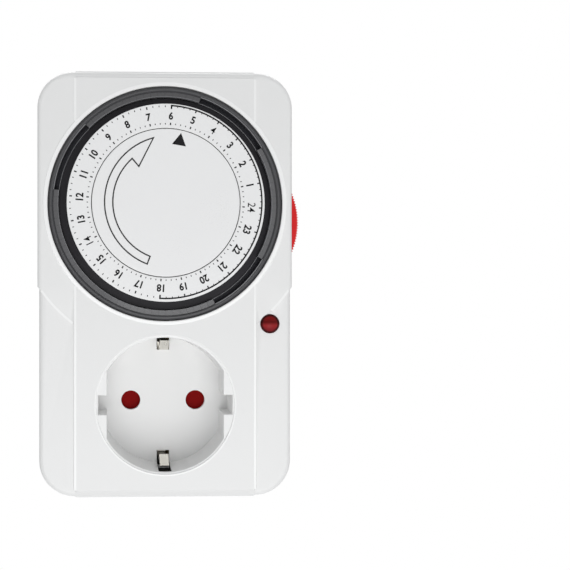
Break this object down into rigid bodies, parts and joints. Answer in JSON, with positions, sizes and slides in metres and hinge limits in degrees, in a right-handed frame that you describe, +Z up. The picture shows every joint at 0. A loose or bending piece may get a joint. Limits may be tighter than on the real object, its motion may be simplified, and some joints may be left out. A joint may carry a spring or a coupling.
{
  "type": "plug-in timer switch",
  "caption": "Plug-in mechanical 24 hour timer switch: push-in segment dial, side override, neon lamp and shuttered earthed outlet on its own plug.",
  "frame": {"origin": "centre of the plug nose's flat face, midway between its two pins", "axes": "+Y out of the plug face along the pins, +Z up the tall case towards the dial's top, the dial faces -Y"},
  "size_m": [0.0764, 0.09, 0.1205],
  "materials": {
    "case_white": "satin white moulded plastic",
    "case_grey": "fine matt light grey moulded plastic",
    "dial_white": "matt white, printed black",
    "dial_black": "black moulded plastic",
    "segment_grey": "dark grey moulded plastic",
    "red_plastic": "red moulded plastic",
    "lamp_red": "dark red clear plastic window",
    "glass": "clear glass",
    "gear_plastic": "natural moulded plastic",
    "nickel": "nickel plated brass",
    "steel": "zinc plated steel",
    "copper": "lacquered copper winding",
    "brass": "plain brass strip",
    "resistor": "lacquered resistor body",
    "lead": "plastic insulated lead"
  },
  "bodies": {
    "root": {"front_housing": "case_white", "socket_well": "case_white", "rear_cover": "case_grey", "plug_insert": "case_grey", "case_screws": "steel", "movement_plate": "dial_black", "plate_screws": "steel", "dial_spindle": "steel", "friction_washer": "steel", "dial_clip": "steel", "centre_cap": "dial_white", "motor_lid": "steel", "motor_can": "steel", "motor_coil": "copper", "idler_axle": "steel", "switch_pivot": "steel", "switch_detent": "steel", "trip_pivot": "steel", "microswitch_body": "dial_black", "plunger_spring": "steel", "microswitch_blades": "brass", "lamp_lens": "lamp_red", "neon_bulb": "glass", "lamp_resistor": "resistor", "shutter_spring": "steel", "shutter_guide": "gear_plastic", "socket_contact_left": "brass", "socket_contact_right": "brass", "socket_earth_clips": "nickel", "plug_pin_left": "nickel", "plug_pin_right": "nickel", "pin_carrier": "gear_plastic", "plug_earth_strips": "nickel", "live_bar": "brass", "switched_bar": "brass", "neutral_bar": "brass", "earth_bar": "brass", "motor_leads": "lead", "lamp_leads": "lead"},
    "dial": {"dial_carrier": "dial_black", "dial_scale": "dial_white"},
    "segments_1": {"segment_bank_1": "segment_grey"},
    "segments_2": {"segment_bank_2": "segment_grey"},
    "segments_3": {"segment_bank_3": "segment_grey"},
    "segments_4": {"segment_bank_4": "segment_grey"},
    "segments_5": {"segment_bank_5": "segment_grey"},
    "segments_6": {"segment_bank_6": "segment_grey"},
    "idler": {"idler_gear": "gear_plastic"},
    "rotor": {"motor_rotor": "steel", "motor_pinion": "brass"},
    "thumb_switch": {"side_switch": "red_plastic"},
    "lever": {"trip_lever": "gear_plastic"},
    "plunger": {"microswitch_plunger": "red_plastic"},
    "shutter": {"shutter": "red_plastic"}
  },
  "joints": [
    {"name": "dial_spin", "type": "hinge", "parent": "root", "child": "dial", "pos_m": [0, -0.06, 0], "axis": [0, 1, 0], "continuous": true},
    {"name": "segments_1_push", "type": "slide", "parent": "dial", "child": "segments_1", "axis": [0, 1, 0], "range_m": [-0.0025, 0]},
    {"name": "segments_2_push", "type": "slide", "parent": "dial", "child": "segments_2", "axis": [0, 1, 0], "range_m": [0, 0.0025]},
    {"name": "segments_3_push", "type": "slide", "parent": "dial", "child": "segments_3", "axis": [0, 1, 0], "range_m": [-0.0025, 0]},
    {"name": "segments_4_push", "type": "slide", "parent": "dial", "child": "segments_4", "axis": [0, 1, 0], "range_m": [0, 0.0025]},
    {"name": "segments_5_push", "type": "slide", "parent": "dial", "child": "segments_5", "axis": [0, 1, 0], "range_m": [-0.0025, 0]},
    {"name": "segments_6_push", "type": "slide", "parent": "dial", "child": "segments_6", "axis": [0, 1, 0], "range_m": [0, 0.0025]},
    {"name": "idler_spin", "type": "hinge", "parent": "root", "child": "idler", "pos_m": [-0.01987, -0.051, 0.01987], "axis": [0, 1, 0], "continuous": true},
    {"name": "rotor_spin", "type": "hinge", "parent": "root", "child": "rotor", "pos_m": [-0.01308, -0.045, 0.01308], "axis": [0, 1, 0], "continuous": true},
    {"name": "thumb_turn", "type": "hinge", "parent": "root", "child": "thumb_switch", "pos_m": [0.01745, -0.044, -0.0045], "axis": [0, 1, 0], "range_deg": [0, 14]},
    {"name": "lever_turn", "type": "hinge", "parent": "root", "child": "lever", "pos_m": [0.0309, -0.05, 0.015], "axis": [0, 1, 0], "range_deg": [0, 6]},
    {"name": "plunger_press", "type": "slide", "parent": "root", "child": "plunger", "axis": [0, 0, 1], "range_m": [0, 0.0007], "deforming": ["plunger_spring"]},
    {"name": "shutter_slide", "type": "slide", "parent": "root", "child": "shutter", "axis": [0, 0, -1], "range_m": [0, 0.0065], "stiffness_N_per_m": 30, "springref_m": -0.002, "deforming": ["shutter_spring"]}
  ],
  "couplings": [
    {"joint": "idler_spin", "follows": "dial_spin", "ratio": -6},
    {"joint": "rotor_spin", "follows": "dial_spin", "ratio": 22.5},
    {"joint": "lever_turn", "follows": "thumb_turn", "ratio": 0.42857},
    {"joint": "plunger_press", "follows": "thumb_turn", "m_per_rad": 0.0028648}
  ]
}
